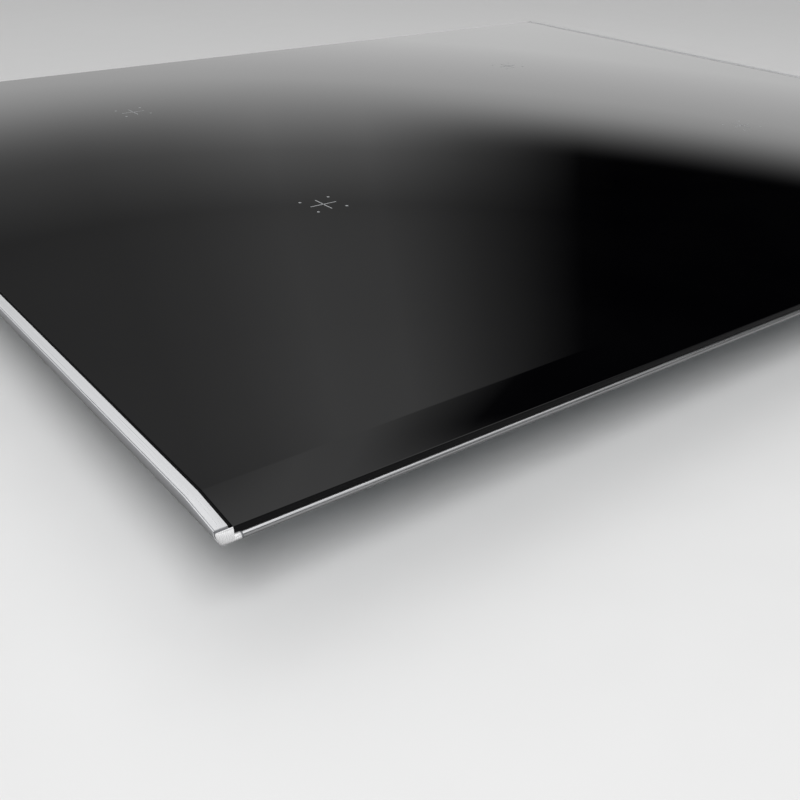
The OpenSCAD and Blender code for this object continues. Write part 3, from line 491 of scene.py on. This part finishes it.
brushed_side = brushed("brushed_side_trim", "f4f5f7", 0.34, (1, 0.004, 1), 2e-6, 0.05, metallic=0.45)
# The side face's colour darkens towards the underside as it curls under: painted shade.
side_face_painted_shade = brushed("satin_side_face_painted_shade", "b4b5b8", 0.5, (1, 0.004, 1), 2e-6, 0.05, below=0.04,
                     turned=(-0.7, 0.1))
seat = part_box("front_trim")[0].z
rim_height = glass_high.z - seat
outer_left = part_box("side_trim_left")[0].x
trim_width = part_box("edge_sealant")[0].x - outer_left
bevel_end = glass_low.y + bevel_width
foot_lift = 0.4 * MM  # height of the feet above the seat
glue = 0.2 * MM
foot_inset, foot_reach = 13 * MM, 14 * MM  # the side feet stop short of the ends and reach inwards
for side, mirror in (("left", 1), ("right", -1)):
    low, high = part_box("side_trim_" + side)
    outer = low.x if mirror > 0 else high.x
    places = np.array([low.y, bevel_end, high.y])
    drops = bevel_drop * np.clip((bevel_end - places) / bevel_width, 0, 1)
    sections = np.array([side_section(trim_width, rim_height, drop) for drop in drops])
    along = np.repeat(places[:, None], sections.shape[1], 1)
    head = np.stack([outer + mirror * sections[:, :, 0], along, seat + sections[:, :, 1]], -1)
    bottom, top = seat + foot_lift, glass_low.z - glue
    first, last = outer + mirror * trim_width * 0.9, outer + mirror * foot_reach
    foot_profile = np.array([[first, bottom], [last, bottom], [last, top], [first, top]])
    foot = carried(foot_profile, 1, low.y + foot_inset, high.y - foot_inset, 0.1 * MM)
    bar = piece("side_bar_" + side, [head, foot], brushed_side, "housing",
                ["side_trim_" + side])
    second_finish(bar, side_face_painted_shade, lambda middle, normal: normal.x * mirror < -0.8)


# ---- front and rear trims ----
# The end trims are polished. A half-round nose lies along the glass's lower edge, and a flat
# foot is glued beneath the glass.

nose_depth = 3.2 * MM


def nose_section(front, rear, bottom, height):
    """A half-round nose at the front, closed behind by a square step, with the foot after it."""
    radius = height / 2
    nose = fillet((front + radius, bottom + radius), radius, 90, 270, 24)
    step = front + nose_depth
    lifted, top = bottom + foot_lift, bottom + height
    return np.concatenate([nose, [[step, bottom], [step, lifted], [rear, lifted], [rear, top]]])


# The nose's colour darkens from its top towards its underside: painted shade.
polished = brushed("polished_end_trim_painted_shade", "f0f1f3", 0.28, (0.004, 1, 1), 6e-7, 0.03, below=0.02)
front_low, front_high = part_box("front_trim")
nose_profile = nose_section(front_low.y, front_high.y, seat, front_high.z - seat)
for end, mirror in (("front", 1), ("rear", -1)):
    bar = carried(nose_profile, 0, front_low.x, front_high.x, 0.06 * MM)
    bar[:, :, 1] *= mirror
    piece(end + "_bar", [bar], polished, "housing", [end + "_trim"])


# ---- corner caps ----
# Each cap is a small polished casting. Its pillow-shaped face closes the side trim's end and
# runs down into the end trim's nose, and its tongue lies beneath the glass.

def pillow(outer, inner, front, back, top, bottom, nose_height, levels=34, steps=22):
    """Level rings between a side and a front: each is a quarter of a superellipse whose reach to
    the side follows the side trim's section, and whose reach to the front is a quarter ellipse
    down to the nose's middle and the nose's own circle below it."""
    radius = nose_height / 2
    middle = bottom + radius
    sink = np.linspace(0, 1, levels)
    z = top - (top - bottom) * (1 - np.cos(np.pi * sink)) / 2
    depth = (top - z) / (top - bottom)
    edge = 0.45 * MM
    rounding = edge - np.sqrt(np.maximum(edge ** 2 - np.maximum(z - top + edge, 0) ** 2, 0))
    reach_x = inner - outer - side_curl * depth ** curl_power - rounding
    above = np.sqrt(np.maximum(1 - ((z - middle) / (top - middle)) ** 2, 0))
    nose = radius - np.sqrt(np.maximum(radius ** 2 - (middle - z) ** 2, 0))
    below = 1 - nose / (back - front)
    reach_y = (back - front) * np.maximum(np.where(z > middle, above, below), 0.04)
    turn = np.linspace(0, np.pi / 2, steps)
    roundness = 2 / 2.4  # two over the superellipse's power
    ring_x = inner - reach_x[:, None] * np.cos(turn) ** roundness
    ring_y = back - reach_y[:, None] * np.sin(turn) ** roundness
    rings = np.zeros((levels, steps + 1, 3))
    rings[:, :-1, 0], rings[:, :-1, 1] = ring_x, ring_y
    rings[:, -1, 0], rings[:, -1, 1] = inner, back
    rings[:, :, 2] = z[:, None]
    return rings


# The cap's colour darkens as its face turns down: painted shade.
cast = brushed("polished_corner_painted_shade", "fafafb", 0.26, (1, 1, 0.1), 6e-7, 0.02, metallic=0.55, below=0.12,
               turned=(-1.0, 0.35))
cap_inner = glass_low.x - 0.1 * MM
for end, end_turn in (("front", 1), ("rear", -1)):
    for side, side_turn in (("left", 1), ("right", -1)):
        node = f"corner_cap_{end}_{side}"
        low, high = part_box(node)
        outer = min(low.x, -high.x)
        face = pillow(outer, cap_inner, front_low.y, glass_low.y - 0.1 * MM, high.z, seat,
                      front_high.z - seat)
        inner_end = max(high.x if side_turn > 0 else -low.x, cap_inner)
        tongue = carried(nose_profile, 0, cap_inner, inner_end, 0.05 * MM)
        for shell in (face, tongue):
            shell *= [side_turn, end_turn, 1]
        piece(f"corner_{end}_{side}", [face, tongue], cast, "housing", [node],
              flat_over=3 * MM, sharp=50)


# ---- joint gaskets ----
# Grey rubber strips close the joints, one between each cap and side trim and one between each
# cap and end trim. They sit slightly below the metal.

rubber = finish("grey_gasket_rubber", "66676a", 0.0, 0.62, 2600, mottle=0.1, depth=8e-6)
sunk = 0.14 * MM
strips = []
for end, end_turn in (("front", 1), ("rear", -1)):
    drop = bevel_drop if end == "front" else 0.0
    upright = drawn_in(side_section(trim_width, rim_height, drop, groove=False), sunk)
    upright = upright + [outer_left, seat]
    across = carried(upright, 1, glass_low.y - 0.1 * MM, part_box("side_trim_left")[0].y, 0.03 * MM)
    beside = carried(drawn_in(nose_profile, sunk), 0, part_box("corner_cap_front_left")[1].x,
                     front_low.x, 0.03 * MM)
    for side_turn in (1, -1):
        strips += [strip * [side_turn, end_turn, 1] for strip in (across, beside)]
piece("gasket_strips", strips, rubber, "housing", ["joint_gaskets"])


# ---- printed marks ----
# Grey ceramic ink is fired onto the glass: a small cross with dots at the middle of each
# cooking zone, and the touch keys' signs over the control unit's pads.

def bar_mark(x, y, length, width, turn=0.0):
    """A straight stroke: a rectangle about a middle, turned by an angle in degrees."""
    half = np.array([[-1, -1], [1, -1], [1, 1], [-1, 1]]) * [length / 2, width / 2]
    c, s = math.cos(math.radians(turn)), math.sin(math.radians(turn))
    return half @ np.array([[c, s], [-s, c]]) + [x, y]


def ring_mark(x, y, radius, width, first=0, last=360, steps=36):
    """A stroke along an arc: out along the larger radius and back along the smaller one."""
    return np.concatenate([fillet((x, y), radius + width / 2, first, last, steps),
                           fillet((x, y), radius - width / 2, last, first, steps)])


def printed(outlines):
    """Each flat outline as a thin shell that reaches from inside the glass to the top of the ink."""
    return [np.stack([np.column_stack([flat, np.full(len(flat), z)])
                      for z in (glass_top - 0.1 * MM, glass_high.z)]) for flat in outlines]


ink = finish("ceramic_ink", "a9abad", 0.0, 0.5, 3000, mottle=0.05, depth=4e-6)
stroke = 0.55 * MM
dot_place = 11 * MM * math.sqrt(0.5)  # the dots lie on the diagonals, 11 mm from the middle
crosses = []
for coil in COILS:
    low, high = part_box("winding_" + coil)
    x, y = (low.x + high.x) / 2, (low.y + high.y) / 2
    crosses += [bar_mark(x, y, 14 * MM, stroke), bar_mark(x, y, 14 * MM, stroke, 90)]
    crosses += [ring_mark(x + dx * dot_place, y + dy * dot_place, 0.35 * MM, 0.68 * MM, 0, 350, 10)
                for dx, dy in ((1, 1), (-1, 1), (-1, -1), (1, -1))]
piece("zone_marks", printed(crosses), ink, "housing")

control_low, control_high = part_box("control_carrier")
key_y = (control_low.y + control_high.y) / 2 - 6 * MM
key_x = np.linspace(control_low.x + 18 * MM, control_high.x - 18 * MM, 11)
signs = [
    ring_mark(key_x[0], key_y, 2.6 * MM, stroke, 125, 415, 26),
    bar_mark(key_x[0], key_y + 2.2 * MM, 2.8 * MM, stroke, 90),
    bar_mark(key_x[1], key_y - 0.7 * MM, 4.2 * MM, 3 * MM),
    ring_mark(key_x[1], key_y + 1 * MM, 1.5 * MM, stroke, 0, 180, 16),
    bar_mark(key_x[2], key_y, 4.4 * MM, stroke),
    bar_mark(key_x[8], key_y, 4.4 * MM, stroke), bar_mark(key_x[8], key_y, 4.4 * MM, stroke, 90),
    ring_mark(key_x[9], key_y, 2.6 * MM, stroke, 0, 350, 30),
    bar_mark(key_x[9], key_y + 0.8 * MM, 1.9 * MM, stroke, 90),
    bar_mark(key_x[9] + 0.7 * MM, key_y, 1.6 * MM, stroke),
    bar_mark(key_x[10] - 1 * MM, key_y, 4.4 * MM, stroke, 90),
    bar_mark(key_x[10] + 1 * MM, key_y, 4.4 * MM, stroke, 90),
]
signs += [bar_mark(key_x[3 + i], key_y, (1.6 + 0.9 * i) * MM, 0.8 * MM, 90) for i in range(5)]
display_x = np.linspace(control_low.x + 46 * MM, control_high.x - 46 * MM, 4)
display_y = key_y + 12.5 * MM
signs += [bar_mark(x + dx * 9 * MM, display_y, 6 * MM, 0.35 * MM, 90)
          for x in display_x for dx in (-1, 1)]
piece("key_signs", printed(signs), ink, "housing")


# ---- view, light and floor ----
# The camera stands low over the front left corner. A soft panel behind it and a sky light the
# hob: pale overhead and at the horizon, dim where the glass mirrors it, and dark to the right.

corner = Vector((outer_left, glass_low.y, glass_high.z))
camera_data = bpy.data.cameras.new("camera")
camera_data.lens, camera_data.sensor_width = 45.64, 36
camera_data.clip_start = 0.01
camera = bpy.data.objects.new("camera", camera_data)
heading, tilt, roll = math.radians(37.64), math.radians(29.24), math.radians(1.24)
camera.matrix_world = (Matrix.Translation(corner + Vector((-87.5, -187.1, 150)) * MM)
                       @ Matrix.Rotation(-heading, 4, "Z") @ Matrix.Rotation(math.pi / 2 - tilt, 4, "X")
                       @ Matrix.Rotation(roll, 4, "Z"))
bpy.context.scene.collection.objects.link(camera)
bpy.context.scene.camera = camera
bpy.context.scene.view_settings.view_transform = "Standard"


def over(tree, value, places, levels, smooth=False):
    """A level for a value: straight or eased lines between the places."""
    ramp = tree.nodes.new("ShaderNodeValToRGB")
    ramp.color_ramp.interpolation = "EASE" if smooth else "LINEAR"
    stops = ramp.color_ramp.elements
    for place in places[1:-1]:
        stops.new(place)
    for stop, place, level in zip(stops, places, levels):
        stop.position, stop.color = place, [level] * 3 + [1]
    tree.links.new(value, ramp.inputs["Fac"])
    return add(tree, "RGBToBW", Color=ramp.outputs["Color"]).outputs["Val"]


def sky_light():
    """Radiance by direction: a ramp over the height on the camera's side and another beyond the
    hob, which at the heights that the glass mirrors is dulled by a ramp over the bearing."""
    world = bpy.data.worlds.new("studio")
    world.use_nodes = True
    bpy.context.scene.world = world
    tree = world.node_tree
    towards = add(tree, "TexCoord").outputs["Generated"]
    height = add(tree, "SeparateXYZ", Vector=towards).outputs["Z"]
    level = add(tree, "VectorMath", {"operation": "MULTIPLY"})
    tree.links.new(towards, level.inputs[0])
    level.inputs[1].default_value = (1, 1, 0)
    bearing = add(tree, "VectorMath", {"operation": "NORMALIZE"})
    tree.links.new(level.outputs["Vector"], bearing.inputs[0])
    east = add(tree, "SeparateXYZ", Vector=bearing.outputs["Vector"]).outputs["X"]
    beyond = add(tree, "VectorMath", {"operation": "DOT_PRODUCT"})
    tree.links.new(bearing.outputs["Vector"], beyond.inputs[0])
    beyond.inputs[1].default_value = (math.sin(heading), math.cos(heading), 0)
    ahead = over(tree, beyond.outputs["Value"], [0.0, 0.1, 0.4, 1.0], [0.0, 0.0, 1.0, 1.0], True)
    far = over(tree, height, [0.0, 0.12, 0.25, 0.334, 0.454, 0.485, 0.574, 0.63, 0.7, 0.85, 1.0],
               [0.8, 0.75, 0.3, 0.18, 0.30, 0.336, 0.476, 0.54, 0.58, 0.8, 1.0])
    near = over(tree, height, [0.0, 0.15, 0.6, 0.85, 1.0], [0.06, 0.05, 0.3, 0.7, 1.0])
    across = over(tree, east, [0.0, 0.3, 0.38, 0.475, 0.565, 0.6, 0.65, 0.705, 0.734, 0.76, 1.0],
                  [0.5, 0.6, 0.73, 1.0, 0.94, 0.74, 0.41, 0.13, 0.01, 0.0, 0.0])
    mirrored = over(tree, height, [0.0, 0.14, 0.24, 0.72, 0.86, 1.0],
                    [0.0, 0.0, 1.0, 1.0, 0.0, 0.0], True)
    share = add(tree, "Mix", Factor=mirrored)
    share.inputs["A"].default_value = 1.0
    tree.links.new(across, share.inputs["B"])
    dulled = add(tree, "Math", {"operation": "MULTIPLY"})
    tree.links.new(far, dulled.inputs[0])
    tree.links.new(share.outputs["Result"], dulled.inputs[1])
    sky = add(tree, "Mix", Factor=ahead)
    tree.links.new(near, sky.inputs["A"])
    tree.links.new(dulled.outputs[0], sky.inputs["B"])
    tree.links.new(sky.outputs["Result"], tree.nodes["Background"].inputs["Strength"])
    tree.nodes["Background"].inputs["Color"].default_value = (1, 1, 1, 1)


sky_light()
panel_data = bpy.data.lights.new("key_panel", "AREA")
panel_data.shape, panel_data.energy = "RECTANGLE", 35
panel_data.size, panel_data.size_y = 0.8, 0.72
panel = bpy.data.objects.new("key_panel", panel_data)
turn, up, reach = math.radians(-155), math.radians(48), 2.0
level_x, level_y = math.sin(turn) * math.cos(up), math.cos(turn) * math.cos(up)
panel.location = corner + reach * Vector((level_x, level_y, math.sin(up)))
panel.rotation_euler = (corner - panel.location).to_track_quat("-Z", "Y").to_euler()
bpy.context.scene.collection.objects.link(panel)

floor_half = 6.0
floor_mesh = bpy.data.meshes.new("floor")
floor_level = -0.05 * MM
floor_corners = [(x * floor_half, y * floor_half, floor_level)
                 for x, y in ((-1, -1), (1, -1), (1, 1), (-1, 1))]
floor_mesh.from_pydata(floor_corners, [], [(0, 1, 2, 3)])
floor_mesh.materials.append(finish("pale_floor", "e4e4e4", 0.0, 0.7, 40, mottle=0.01))
floor = bpy.data.objects.new("floor", floor_mesh)
bpy.context.scene.collection.objects.link(floor)
